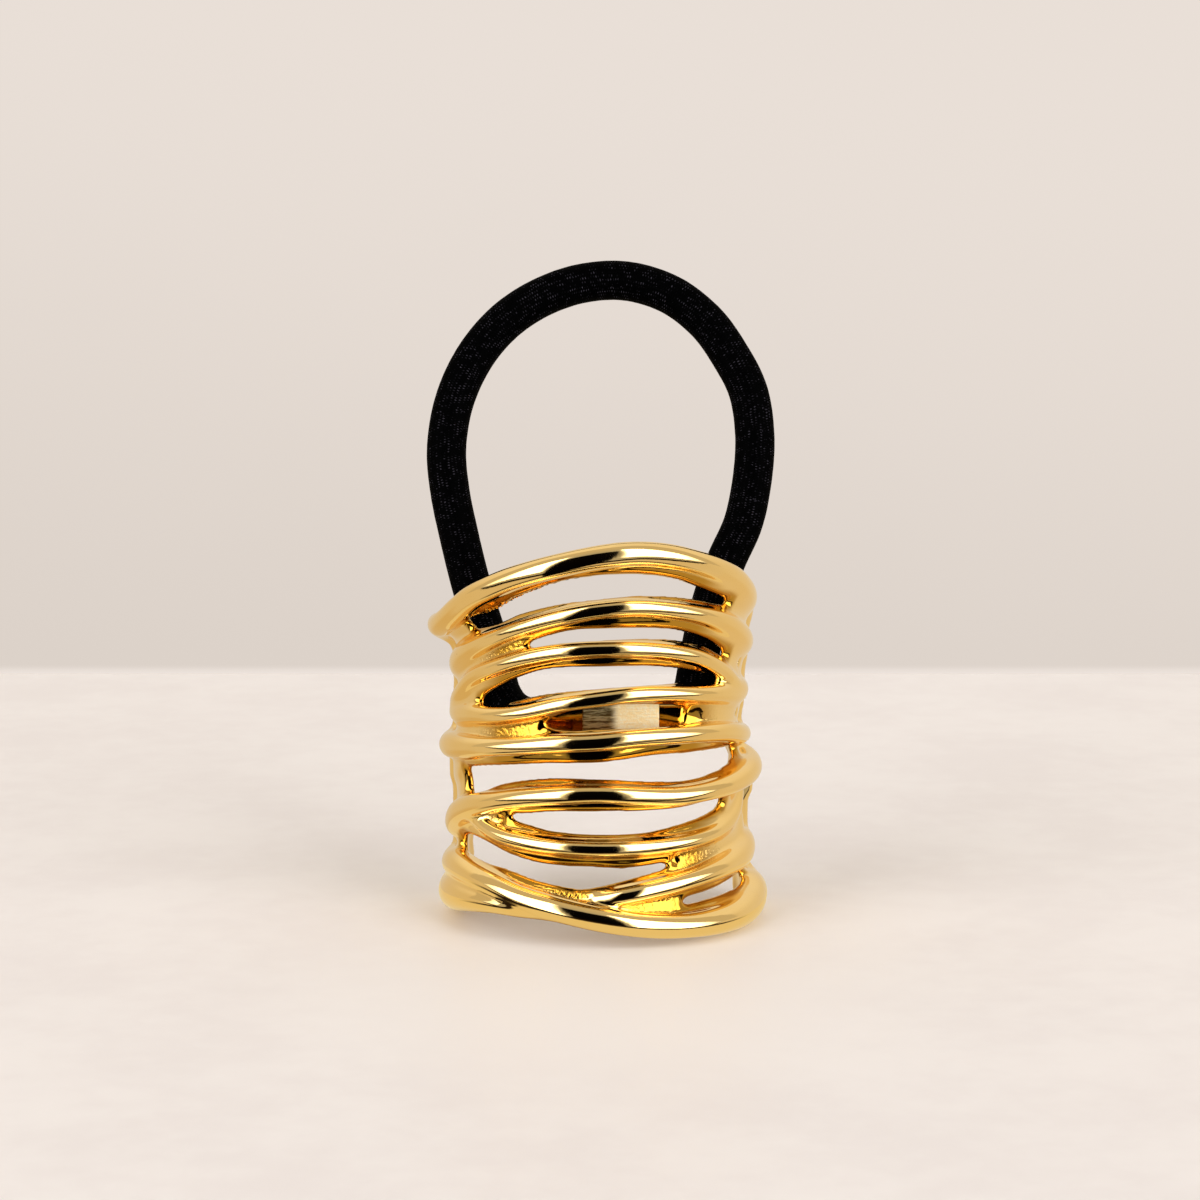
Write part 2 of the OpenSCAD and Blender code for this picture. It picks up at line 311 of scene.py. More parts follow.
def knit_material():
    made, t = new_material("knitted_elastic")
    place = t.node("ShaderNodeTexCoord").outputs["Object"]

    def stored(name):
        return t.value("ShaderNodeAttribute", {"attribute_name": name}, None, "Fac")

    wander = t.noise(place, 420, 2) - 0.5
    turn = t.maths("ARCTAN2", stored("sine"), stored("cosine")) * (WALES / math.tau) + wander
    wale = t.maths("FLOOR", turn)
    across = t.maths("SINE", (turn - wale) * math.pi)
    stagger = t.maths("FLOORED_MODULO", wale, 2.0) * 0.5
    beat = stored("along") * (ELASTIC_LENGTH / DASH_PITCH) + stagger + wander * 1.5
    dash = t.maths("SINE", beat * math.tau) * 0.5 + 0.5
    # Random breaks in the dashes, in both their relief and their painted highlight
    broken_dashes = t.rise(t.noise(place, 1500, 2), 0.38, 0.66)
    high = across * dash * (broken_dashes * 0.8 + 0.2)
    lint = t.rise(t.noise(place, 2400, 1), 0.72, 0.8)
    stitch_highlight = high * high
    # Painted highlight: the base colour goes from black to a pale grey on the tops of the dashes
    base = t.mix(stitch_highlight * stitch_highlight, colour(0.002, 0.002, 0.003), colour(0.225, 0.217, 0.25))
    base = t.mix(lint * 0.2, base, colour(0.27, 0.26, 0.3))
    bump = t.node("ShaderNodeBump", None, {"Strength": 0.6, "Distance": 0.00006, "Height": high})
    shader = t.node("ShaderNodeBsdfPrincipled", None, {
        "Base Color": base, "Roughness": t.noise(place, 900) * 0.2 + 0.5,
        "Normal": bump.outputs[0], "Specular IOR Level": 0.008})
    t.node("ShaderNodeOutputMaterial", None, {"Surface": shader.outputs[0]})
    return made


def knit_tree(material):
    """Turns a line into the covered cord, with the place of each point round and along it."""
    tree = bpy.data.node_groups.new("knit_over_line", "GeometryNodeTree")
    tree.interface.new_socket("Line", in_out="INPUT", socket_type="NodeSocketGeometry")
    for name, kind in (("Rings", "NodeSocketInt"), ("Sides", "NodeSocketInt"),
                       ("Radius", "NodeSocketFloat"), ("Relief", "NodeSocketFloat")):
        tree.interface.new_socket(name, in_out="INPUT", socket_type=kind)
    tree.interface.new_socket("Cord", in_out="OUTPUT", socket_type="NodeSocketGeometry")
    t = Tree(tree)
    given = t.node("NodeGroupInput").outputs

    def store(shape, name, number):
        return t.node("GeometryNodeStoreNamedAttribute", {"data_type": "FLOAT", "domain": "POINT"}, {
            "Geometry": shape, "Name": name, "Value": number}).outputs[0]

    line = t.node("GeometryNodeResampleCurve", None, {
        "Curve": given["Line"], "Count": given["Rings"]}).outputs[0]
    share = t.value("GeometryNodeSplineParameter", out="Factor")
    line = store(line, "along", share)
    ring = t.node("GeometryNodeCurvePrimitiveCircle", None, {
        "Resolution": given["Sides"], "Radius": given["Radius"]}).outputs[0]
    ring = store(ring, "sine", t.maths("SINE", share * math.tau))
    ring = store(ring, "cosine", t.maths("COSINE", share * math.tau))
    cord = t.node("GeometryNodeCurveToMesh", None, {
        "Curve": line, "Profile Curve": ring, "Fill Caps": True}).outputs[0]
    place = t.node("GeometryNodeInputPosition").outputs[0]
    lift = (t.noise(place, 900, 2) - 0.5) * Value(t, given["Relief"])
    normal = t.node("GeometryNodeInputNormal").outputs[0]
    offset = t.node("ShaderNodeVectorMath", {"operation": "SCALE"}, {0: normal, "Scale": lift})
    cord = t.node("GeometryNodeSetPosition", None, {
        "Geometry": cord, "Offset": offset.outputs[0]}).outputs[0]
    cord = t.node("GeometryNodeRealizeInstances", None, {"Geometry": cord}).outputs[0]
    cord = t.node("GeometryNodeSetMaterial", None, {"Geometry": cord, "Material": material}).outputs[0]
    t.node("NodeGroupOutput", None, {"Cord": cord})
    return tree


def grown(name, source, tree, sizes):
    """The plain mesh that a Geometry Nodes tree makes of source, with its inputs set by name."""
    modifier = source.modifiers.new("grow", "NODES")
    modifier.node_group = tree
    for item in tree.interface.items_tree:
        if item.in_out == "INPUT" and item.name in sizes:
            modifier[item.identifier] = sizes[item.name]
    bpy.context.view_layer.update()
    seen = source.evaluated_get(bpy.context.evaluated_depsgraph_get())
    mesh = bpy.data.meshes.new_from_object(seen)
    mesh.name = name
    made = bpy.data.objects.new(name, mesh)
    bpy.context.scene.collection.objects.link(made)
    source.modifiers.remove(modifier)
    return made


def add_elastic():
    middle = smooth_line(ELASTIC_ROUTE, ROUTE_STEPS) * MM
    curve = bpy.data.curves.new("elastic_route", "CURVE")
    curve.dimensions = "3D"
    spline = curve.splines.new("POLY")
    spline.points.add(len(middle) - 1)
    spline.points.foreach_set("co", np.c_[middle, np.ones(len(middle))].ravel())
    route = bpy.data.objects.new("elastic_route", curve)
    bpy.context.scene.collection.objects.link(route)
    cord = grown("covered_elastic", route, knit_tree(knit_material()), {
        "Rings": CORD_RINGS, "Sides": CORD_SIDES, "Radius": (ELASTIC_WIDTH - KNIT_RELIEF) / 2 * MM,
        "Relief": KNIT_RELIEF * MM})
    bpy.data.objects.remove(route)
    for polygon in cord.data.polygons:
        polygon.use_smooth = True
    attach(cord, "root")
    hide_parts("elastic_loop")
    return cord


def ease(share):
    """A smooth step from 0 to 1."""
    share = np.clip(share, 0, 1)
    return share * share * (3 - 2 * share)


def through(places, heights, at):
    """Height at an angle of the smooth curve through pairs, level past its ends."""
    x = np.array(places, float)
    y = np.array(heights, float)
    before = np.r_[0, np.arange(len(x) - 1)]
    after = np.r_[np.arange(1, len(x)), len(x) - 1]
    slope = (y[after] - y[before]) / (x[after] - x[before])
    at = np.clip(at, x[0], x[-1])
    i = np.clip(np.searchsorted(x, at, side="right") - 1, 0, len(x) - 2)
    d = x[i + 1] - x[i]
    t = (at - x[i]) / d
    return (y[i] * (2 * t ** 3 - 3 * t * t + 1) + slope[i] * d * (t ** 3 - 2 * t * t + t)
            + y[i + 1] * (3 * t * t - 2 * t ** 3) + slope[i + 1] * d * (t ** 3 - t * t))


def joined(a, b, soft):
    """Two solids melted together over a soft distance, as solder fills a corner."""
    h = np.maximum(soft - abs(a - b), 0)
    return np.minimum(a, b) - h * h / (4 * soft)


def common(a, b, soft):
    """What two solids share, with the edge between them rounded off."""
    return -joined(-a, -b, soft)


def even_radius(wire, turn):
    """A wire's crest radius without its swell, from the left side round to the right."""
    half = (wire.right - wire.left) / 2
    return (wire.left + wire.right) / 2 + half * np.sin(np.radians(turn))


def crest_radius(name, turn):
    middle, spread, amount = SWELLS.get(name, (0, 1, 0))
    return even_radius(WIRES[name], turn) + amount * np.exp(-((turn - middle) / spread) ** 2)


def crest_height(wire, turn):
    return through(*zip(*wire.crest), turn)


def tube_radius(wire, turn):
    side = np.where(turn < 0, wire.at_left, wire.at_right)
    return wire.at_front + (side - wire.at_front) * ease((abs(turn) - TUBE_SIDE) / TUBE_SPREAD)


def inner_face(turn, up):
    """Radius of the cuff's inner face, which follows the wires' depths, the outer ones least."""
    total, weight = 0, TINY
    for wire in WIRES.values():
        first, last = wire.crest[0][0], wire.crest[-1][0]
        there = ease((turn - first + END_FADE) / END_FADE) * ease((last - turn + END_FADE) / END_FADE)
        even = even_radius(wire, turn)
        rise = (up - crest_height(wire, turn)) / INNER_REACH
        near = there * np.exp(-rise ** 2 - (even - MIDDLE_RADIUS)) + TINY
        total = total + near * (even - wire.depth)
        weight = weight + near
    return total / weight


def tube_distance(index, name, turn, out, up):
    """Distance to a wire, which ripples a little and tapers off past its ends."""
    wire = WIRES[name]
    ripple = np.sin(0.11 * turn + 2.1 * index) + 0.6 * np.sin(0.29 * turn + 4.7 * index)
    radius = tube_radius(wire, turn) + RIPPLE * ripple
    arc = np.radians(1) * out
    climb = (crest_height(wire, turn + 0.5) - crest_height(wire, turn - 0.5)) / arc
    rise = (up - crest_height(wire, turn)) / np.sqrt(1 + climb * climb)
    past = np.maximum(wire.crest[0][0] - turn, turn - wire.crest[-1][0]).clip(0) * arc
    across = out - (crest_radius(name, turn) - radius)
    return np.sqrt(across ** 2 + rise ** 2 + (past * radius / POST_RADIUS) ** 2) - radius


def opening_distance(number, turn, out, up, inner):
    """Distance to an opening, which widens outwards from the inner face."""
    angles, low, high = zip(*OPENINGS[number])
    arc = np.radians(1) * out
    depth = np.clip(out - inner, *FLARE_DEPTH)
    above, below, beside, over_bar = (share * depth for share in FLARE)
    tall = np.maximum(up - through(angles, high, turn) - above,
                      through(angles, low, turn) - below - up) * SLANT_SHARE
    right = (turn - angles[-1]) * arc - (over_bar if number == OVER_BAR else beside)
    left = (angles[0] - turn) * arc - beside
    return common(tall, np.maximum(left, right), OPENING_CORNER)


def pit_distance(pit, turn, out, up, inner):
    angle, height, radius = pit
    beside = (turn - angle) * np.radians(1) * out
    return np.sqrt(beside ** 2 + (up - height) ** 2 + (out - inner - PIT_PLACE) ** 2) - radius


def bar_distance(turn, out, up):
    x = out * np.sin(np.radians(turn))
    y = -out * np.cos(np.radians(turn))
    cx, cy, cz = BAR["centre"]
    hx, hy, hz = BAR["half"]
    e = BAR["edge"]
    qx, qy, qz = abs(x - cx) - hx + e, abs(y - cy) - hy + e, abs(up - cz) - hz + e
    outside = np.sqrt(np.maximum(qx, 0) ** 2 + np.maximum(qy, 0) ** 2 + np.maximum(qz, 0) ** 2)
    return outside + np.minimum(np.maximum(np.maximum(qx, qy), qz), 0) - e


def cuff_distance(turn, out, up):
    """Distance to the cuff's skin in mm, below 0 in the metal."""
    side = ease((abs(turn) - WALL["side"]) / WALL["spread"])
    inner = inner_face(turn, up)
    arc = np.radians(1) * out
    wall = np.maximum(inner - out, out - inner - WALL["thickness"] - WALL["gain"] * side)
    for number in range(len(OPENINGS)):
        wall = common(wall, -opening_distance(number, turn, out, up, inner), SOFT["opening"])
    top = crest_height(WIRES["rim"], turn) + WALL["over_rim"]
    base = crest_height(WIRES["base"], turn)
    foot = crest_height(WIRES["left_foot"], turn)
    foot = foot + FOOT_LIFT * ease((turn - FOOT_END) / FOOT_SPREAD)
    bottom = np.minimum(base, foot) - WALL["under_base"]
    wall = common(wall, np.maximum(up - top, bottom - up), SOFT["rim"])
    wall = common(wall, (abs(turn) - CUFF_END) * arc, SOFT["end"])
    soft = SOFT["wire"] + SOFT["wire_gain"] * side
    for index, name in enumerate(WIRES):
        wall = joined(wall, tube_distance(index, name, turn, out, up), soft)
    post = np.sqrt((out - inner - POST_RADIUS) ** 2 + ((abs(turn) - CUFF_END) * arc) ** 2)
    post = np.maximum(post - POST_RADIUS, np.maximum(up - top, bottom - up))
    wall = joined(wall, post, SOFT["post"])
    for pit in PITS:
        wall = common(wall, -pit_distance(pit, turn, out, up, inner), SOFT["pit"])
    wall = common(wall, inner - out, SOFT["inner"])
    wall = joined(wall, bar_distance(turn, out, up), SOFT["bar"])
    return np.maximum(wall, -up)


def net_over(field):
    """A closed net of quads round the cells where the field changes sign."""
    inside = field < 0
    cells = tuple(n - 1 for n in field.shape)
    count = np.zeros(cells, np.int8)
    corners = [(i, j, k) for i in (0, 1) for j in (0, 1) for k in (0, 1)]
    for i, j, k in corners:
        count += inside[i:i + cells[0], j:j + cells[1], k:k + cells[2]]
    active = np.argwhere((count > 0) & (count < 8))
    number = np.full(cells, -1)
    number[tuple(active.T)] = np.arange(len(active))
    total = np.zeros((len(active), 3))
    crossings = np.zeros(len(active))
    for a in corners:
        for axis in range(3):
            if a[axis]:
                continue
            b = tuple(c + (d == axis) for d, c in enumerate(a))
            fa = field[tuple((active + a).T)]
            fb = field[tuple((active + b).T)]
            cut = (fa < 0) != (fb < 0)
            share = np.where(cut, fa / np.where(cut, fa - fb, 1), 0)
            point = active + np.array(a) + share[:, None] * (np.array(b) - np.array(a))
            total += np.where(cut[:, None], point, 0)
            crossings += cut
    faces = []
    for axis in range(3):
        u, v = (axis + 1) % 3, (axis + 2) % 3
        here = np.take(inside, range(field.shape[axis] - 1), axis)
        there = np.take(inside, range(1, field.shape[axis]), axis)
        edges = np.argwhere(here != there)
        edges = edges[(edges[:, u] > 0) & (edges[:, v] > 0)
                      & (edges[:, u] < cells[u]) & (edges[:, v] < cells[v])]
        ring = []
        for du, dv in ((1, 1), (0, 1), (0, 0), (1, 0)):
            cell = edges.copy()
            cell[:, u] -= du
            cell[:, v] -= dv
            ring.append(number[tuple(cell.T)])
        quad = np.stack(ring, 1)
        outward = here[tuple(edges.T)]
        quad[outward] = quad[outward][:, ::-1]
        faces.append(quad)
    return total / crossings[:, None], np.concatenate(faces)


# The net's steps of angle: in general, at the back, at the posts, and the fine one near an
# opening's end or where the wires climb steeply
TURN_STEP = 1.7
BACK_STEP = 2.4
POST_STEP = 1.4
FINE_STEP = 1.0
BACK_START = 84
POST_START = 99
FINE_REACH = 5
STEEP_START = -66
STEEP_END = -25
TURN_REACH = 113.0
# Its step outwards and upwards, and the ranges that it covers
SPACE_STEP = 0.22
OUT_RANGE = (10.0, 20.4)
UP_RANGE = (-0.55, 46.6)
# The field is worked out in this many parts, to save memory
FIELD_PARTS = 16
# Rounds of smoothing: with a step back onto the skin, without one, and of the normals
NET_ROUNDS = 3
LAST_ROUNDS = 2
NORMAL_ROUNDS = 2
LONGEST_STEP = 0.15
LEAST_SLOPE = 0.3
# Half the stretch that a shading normal is taken over, which softens tight corners
NORMAL_REACH = 0.11


def turn_grid():
    """The net's angles, closer together where the openings end."""
    ends = [rows[k][0] for rows in OPENINGS for k in (0, -1)]
    made = [-TURN_REACH]
    while made[-1] < TURN_REACH:
        near = min(abs(made[-1] - end) for end in ends) < FINE_REACH
        if abs(made[-1]) > POST_START:
            step = POST_STEP
        elif abs(made[-1]) > BACK_START:
            step = BACK_STEP
        elif near or STEEP_START < made[-1] < STEEP_END:
            step = FINE_STEP
        else:
            step = TURN_STEP
        made.append(made[-1] + step)
    return np.array(made)


def as_round(points):
    """Angle, radius and height of points."""
    x, y, z = points.T
    return np.degrees(np.arctan2(x, -y)), np.hypot(x, y), z


def slope_of(points, reach=0.02):
    """The field's value and its steepest direction at points."""
    here = cuff_distance(*as_round(points))
    steep = np.empty_like(points)
    for axis in range(3):
        step = np.zeros(3)
        step[axis] = reach
        steep[:, axis] = (cuff_distance(*as_round(points + step))
                          - cuff_distance(*as_round(points - step))) / (2 * reach)
    return here, steep


def evened(values, quads):
    """Values at a net's points, each averaged over the faces that meet there."""
    total = np.zeros_like(values)
    count = np.zeros((len(values), 1))
    middle = values[quads].mean(1)
    for corner in quads.T:
        np.add.at(total, corner, middle)
        np.add.at(count, corner, 1)
    return total / count


def on_skin(points):
    """Points moved onto the cuff's skin, by no more than a short step."""
    here, steep = slope_of(points)
    move = steep * (here / np.maximum((steep ** 2).sum(1), LEAST_SLOPE))[:, None]
    far = np.linalg.norm(move, axis=1, keepdims=True)
    return points - move * np.minimum(1, LONGEST_STEP / np.maximum(far, TINY))


def cuff_mesh():
    """The cuff's points in mm, its faces and its shading normals."""
    turn = turn_grid()
    out = np.arange(*OUT_RANGE, SPACE_STEP)
    up = np.arange(*UP_RANGE, SPACE_STEP)
    field = np.concatenate([
        cuff_distance(part[:, None, None], out[None, :, None], up[None, None, :])
        for part in np.array_split(turn, FIELD_PARTS)])
    net, quads = net_over(field)
    angle = np.radians(np.interp(net[:, 0], np.arange(len(turn)), turn))
    radius = out[0] + net[:, 1] * SPACE_STEP
    points = np.c_[radius * np.sin(angle), -radius * np.cos(angle),
                   up[0] + net[:, 2] * SPACE_STEP]
    points = on_skin(points)
    for _ in range(NET_ROUNDS):
        points = on_skin((points + evened(points, quads)) / 2)
    for _ in range(LAST_ROUNDS):
        points = (points + evened(points, quads)) / 2
    points[:, 2] = points[:, 2].clip(0)
    normals = slope_of(points, NORMAL_REACH)[1]
    for _ in range(NORMAL_ROUNDS):
        normals /= np.linalg.norm(normals, axis=1, keepdims=True)
        normals = evened(normals, quads)
    normals /= np.linalg.norm(normals, axis=1, keepdims=True)
    return points, quads, normals


def gold_material():
    made, t = new_material("cast_gold")
    place = t.node("ShaderNodeTexCoord").outputs["Object"]
    groove = t.value("ShaderNodeAttribute", {"attribute_name": "groove"}, None, "Fac")
    tone = t.noise(place, 160, 2)
    base = t.mix(t.rise(tone, 0.3, 0.7), colour(1.0, 0.862, 0.57), colour(1.0, 0.874, 0.598))
    # Painted shade: the base turns a darker amber gold on the openings' walls, on webs at the front
    # and on the inner face, by the stored attribute
    base = t.mix(t.value("ShaderNodeAttribute", {"attribute_name": "painted_shade"}, None, "Fac"), base,
                 colour(0.8, 0.6, 0.215))
    rough = t.noise(place, 700, 2) * 0.03 + groove * 0.08 + 0.055
    ripple = t.noise(place, 420, 1) * 0.6 + t.noise(place, 1500, 1) * 0.15
    cast = t.noise(place, 2300, 3) * groove * 4.0
    bump = t.node("ShaderNodeBump", None, {
        "Strength": 1.0, "Distance": 0.00003, "Height": ripple + cast})
    shader = t.node("ShaderNodeBsdfPrincipled", None, {
        "Base Color": base, "Metallic": 1.0, "Roughness": rough, "Normal": bump.outputs[0]})
    t.node("ShaderNodeOutputMaterial", None, {"Surface": shader.outputs[0]})
    return made


def cuff_marks(turn, out, up):
    """How far each point lies in a rough groove, and how far it takes the painted shade of a darker
    amber gold.
    """
    near = np.sort([tube_distance(i, name, turn, out, up) for i, name in enumerate(WIRES)], 0)
    inner = inner_face(turn, up)
    depth = out - inner
    hole = np.min([opening_distance(i, turn, out, up, inner) for i in range(len(OPENINGS))], 0)
    off_wires = ease((near[0] - 0.03) / 0.25)
    # Painted shade, a darker amber gold for the shade in recesses: off the wires at the front and
    # beside openings, and less so on the inside face
    at_front = 1 - ease((abs(turn) - 42) / 16)
    by_opening = 1 - ease((hole - 0.05) / 0.35)
    inside = 0.6 * (1 - ease((depth - 0.1) / 0.3))
    painted_shade = np.maximum(np.maximum(at_front, by_opening) * off_wires, inside)
    # Rough as cast: between two wires and on webs away from openings, outside at the front
    between = ease((1.25 - near[1]) / 0.5) * ease((near[0] - 0.02) / 0.3)
    web = 0.7 * off_wires * ease((hole - 0.7) / 0.4)
    outside = ease((depth - 0.3) / 0.3)
    off_sides = 1 - ease((abs(turn) - 52) / 15)
    return np.maximum(between, web) * outside * off_sides, painted_shade


def add_cuff():
    points, quads, normals = cuff_mesh()
    piece = new_piece("cast_cuff", points * MM, quads.tolist(), gold_material())
    mesh = piece.data
    # Stores how far each point lies in a rough groove and how far it takes the painted shade
    for name, numbers in zip(("groove", "painted_shade"), cuff_marks(*as_round(points))):
        stored = mesh.attributes.new(name, "FLOAT", "POINT")
        stored.data.foreach_set("value", numbers.astype(np.float32))
    mesh.polygons.foreach_set("use_smooth", [True] * len(mesh.polygons))
    mesh.normals_split_custom_set_from_vertices(normals)
    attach(piece, "root")
    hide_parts("wire_cuff")
    return piece


# The crimp sleeve: a strip of sheet bent round the bar and both ends of the elastic
SLEEVE = {"left": -1.7, "right": 6.7, "front": -11.45, "middle": -8.0, "height": 24.1,
          "radius": 2.4, "sheet": 0.5, "bevel": 0.12, "corner": 0.5, "inner_corner": 0.1}
SLEEVE_TURNS = 40
BEND_TURNS = 6
# The seam at the back, where the strip's two edges meet: its depth and half width
SEAM = (0.14, 0.12)


def sleeve_loop(grow, along):
    """The sleeve's outline at a place along it, grown outwards from its inner face."""
    s = SLEEVE
    radius = s["radius"] + grow
    corner = min(s["corner"], s["inner_corner"] + grow)
    front = s["front"] - grow
    turns = np.radians(np.linspace(-90, 90, SLEEVE_TURNS + 1))
    depth, width = SEAM
    on_outside = grow > s["sheet"] / 2
    dent = depth * np.exp(-(turns * radius / width) ** 2) if on_outside else 0 * turns
    back = np.c_[s["middle"] + (radius - dent) * np.cos(turns), (radius - dent) * np.sin(turns)]
    bend = np.radians(np.linspace(0, 90, BEND_TURNS + 1))
    upper = np.c_[front + corner - corner * np.sin(bend), radius - corner + corner * np.cos(bend)]
    lower = np.c_[upper[::-1, 0], -upper[::-1, 1]]
    outline = np.concatenate([back, upper, lower])
    return np.c_[np.full(len(outline), along), outline[:, 0], outline[:, 1] + s["height"]]


def sleeve_material():
    made, t = new_material("brushed_gold")
    place = t.node("ShaderNodeTexCoord").outputs["Object"]
    split = t.node("ShaderNodeSeparateXYZ", None, {0: place}).outputs
    x = Value(t, split[0])
    # Painted light: the right part is a pale gold as a painted highlight and the left part a dark
    # olive gold as painted shade; the right part is also rougher, with stronger lines
    lit_side = t.rise(x, 0.0012, 0.0024)
    stretch = t.node("ShaderNodeVectorMath", {"operation": "MULTIPLY"}, {
        0: place, 1: (0.12, 1.0, 1.0)}).outputs[0]
    lines = t.noise(stretch, 3800, 3, 0.7)
    scratch = lines * 0.5 + t.noise(place, 3000, 3, 0.7) * 0.5
    shaded_gold = t.mix(t.rise(lines, 0.42, 0.62), colour(0.45, 0.38, 0.24), colour(0.92, 0.86, 0.66))
    lit_gold = t.mix(t.rise(scratch, 0.35, 0.65), colour(1.0, 0.93, 0.72), colour(1.0, 0.98, 0.9))
    bump = t.node("ShaderNodeBump", None, {
        "Strength": 1.0, "Distance": 0.00009, "Height": scratch * (lit_side * 0.75 + 0.25)})
    shader = t.node("ShaderNodeBsdfPrincipled", None, {
        "Base Color": t.mix(lit_side, shaded_gold, lit_gold), "Metallic": 1.0,
        "Roughness": lit_side * 0.36 + 0.34, "Normal": bump.outputs[0]})
    t.node("ShaderNodeOutputMaterial", None, {"Surface": shader.outputs[0]})
    return made


def add_sleeve():
    s = SLEEVE
    rings = [(0, s["left"]), (s["sheet"] - s["bevel"], s["left"]),
             (s["sheet"], s["left"] + s["bevel"]), (s["sheet"], s["right"] - s["bevel"]),
             (s["sheet"] - s["bevel"], s["right"]), (0, s["right"])]
    loops = [sleeve_loop(grow, along) for grow, along in rings]
    n, m = len(loops[0]), len(loops)
    faces = [(j * n + i, j * n + (i + 1) % n, (j + 1) % m * n + (i + 1) % n, (j + 1) % m * n + i)
             for j in range(m) for i in range(n)]
    piece = new_piece("crimp_sleeve", np.concatenate(loops) * MM, faces, sleeve_material())
    piece.data.polygons.foreach_set("use_smooth", [True] * len(faces))
    piece.data.set_sharp_from_angle(angle=math.radians(35))
    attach(piece, "root")
    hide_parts("crimp_band")
    return piece


# The studio's light in linear red, green and blue: at the sides and back below and above,
# low down behind, to the right, in front, overhead, underneath, and the dark line in front
LIGHTS = {
    "below": (0.7, 0.595, 0.445, 1.0),
    "above": (0.9, 0.82, 0.7, 1.0),
    "behind": (0.66, 0.51, 0.3, 1.0),
    "right": (0.82, 0.73, 0.6, 1.0),
    "front": (0.45, 0.4275, 0.405, 1.0),
    "overhead": (0.58, 0.505, 0.4, 1.0),
    "under": (0.3, 0.19, 0.07, 1.0),
    "line": (0.01, 0.006, 0.003, 1.0),
}
BOX_STRENGTH = 4.5
# How far left of the front the middle of the camera's gap and of the two softboxes lies
GAP_SHIFT = 3.0


def paint_studio():
    """Light from every direction: two tall softboxes, a dark gap for the camera, warm walls."""
    world = bpy.data.worlds.new("studio")
    bpy.context.scene.world = world
    world.use_nodes = True
    t = Tree(world.node_tree)
    toward = t.node("ShaderNodeTexCoord").outputs["Generated"]
    parts = t.node("ShaderNodeSeparateXYZ", None, {0: toward}).outputs
    x, y, z = (Value(t, part) for part in parts)
    # Bearing is 0 in front and grows to the right. Pitch is 0 in front, -90 down and 90 up.
    degrees = 180 / math.pi
    bearing = t.maths("ARCTAN2", x, y * -1.0) * degrees
    side = t.maths("ABSOLUTE", bearing)
    pitch = t.maths("ARCTAN2", z, y * -1.0) * degrees
    height = t.maths("ARCSINE", z) * degrees
    light = t.mix(t.rise(height, 8, 36), LIGHTS["below"], LIGHTS["above"])
    low_behind = (1 - t.rise(height, -30, -14)) * t.rise(side, 96, 116)
    light = t.mix(low_behind, light, LIGHTS["behind"])
    light = t.mix(t.rise(bearing, 80, 120) * 0.5, light, LIGHTS["right"])
    in_front = 1 - t.rise(side, 103, 108)
    room = t.mix(t.rise(pitch, 45, 75), LIGHTS["front"], LIGHTS["overhead"])
    light = t.mix(in_front * t.rise(pitch, -44, -40), light, room)
    light = t.mix(1 - t.rise(height, -75, -60), light, LIGHTS["under"])
    light = t.mix(in_front * t.between(pitch, -56, -44, 3.0), light, LIGHTS["line"])
    off_middle = t.maths("ABSOLUTE", bearing + GAP_SHIFT)
    gap = (1 - t.rise(off_middle, 18, 22)) * (1 - t.rise(pitch, 42, 48))
    light = t.mix(gap, light, colour(0.015, 0.01, 0.01))
    box = t.rise(off_middle, 22, 30) * (1 - t.rise(side, 60, 94)) * t.between(pitch, -20, 55, 4.0)
    room_light = t.node("ShaderNodeBackground", None, {"Color": light, "Strength": 1.0})
    box_light = t.node("ShaderNodeBackground", None, {
        "Color": colour(1, 0.99, 0.98), "Strength": BOX_STRENGTH})
    plain = t.node("ShaderNodeBackground", None, {
        "Color": colour(0.9, 0.865, 0.83), "Strength": 1.0})
    lit = t.node("ShaderNodeMixShader", None, {
        0: box, 1: room_light.outputs[0], 2: box_light.outputs[0]})
    seen = t.node("ShaderNodeLightPath").outputs["Is Camera Ray"]
    both = t.node("ShaderNodeMixShader", None, {0: seen, 1: lit.outputs[0], 2: plain.outputs[0]})
    t.node("ShaderNodeOutputWorld", None, {"Surface": both.outputs[0]})


FLOOR_REACH = 700
WALL_PLACE = 139
# The floor as the metal mirrors it: dim inside the cuff, lit by the gold out to a radius,
# then shaded in front
INSIDE_REACH = 15
GLOW_REACH = 25
SHADE_REACH = 31.5
SHADE_SIDES = 64
SHADE_DEPTH = -0.05


def flat_piece(name, corners, material):
    return new_piece(name, [Vector(c) * MM for c in corners], [tuple(range(len(corners)))], material)


def floor_material():
    """Pale and mottled, and brighter round a place in front of the cuff, a painted pool of the light
    that the gold throws on the floor.
    """
    made, t = new_material("pale_floor")
    place = t.node("ShaderNodeTexCoord").outputs["Object"]
    mottle = t.noise(place, 45, 4) * 0.7 + t.noise(place, 260, 3) * 0.3
    base = t.mix(t.rise(mottle, 0.35, 0.65), colour(0.891, 0.876, 0.888), colour(0.911, 0.9, 0.911))
    # Painted pool of light: paler round a place in front of the cuff
    off = t.value("ShaderNodeVectorMath", {"operation": "DISTANCE"}, {
        0: place, 1: (0.0, -0.036, 0.0)}, "Value")
    base = t.mix(1 - t.rise(off, 0.008, 0.045), base, colour(0.92, 0.909, 0.917))
    shader = t.node("ShaderNodeBsdfPrincipled", None, {
        "Base Color": base, "Roughness": 0.45, "Specular IOR Level": 0.3})
    t.node("ShaderNodeOutputMaterial", None, {"Surface": shader.outputs[0]})
    return made


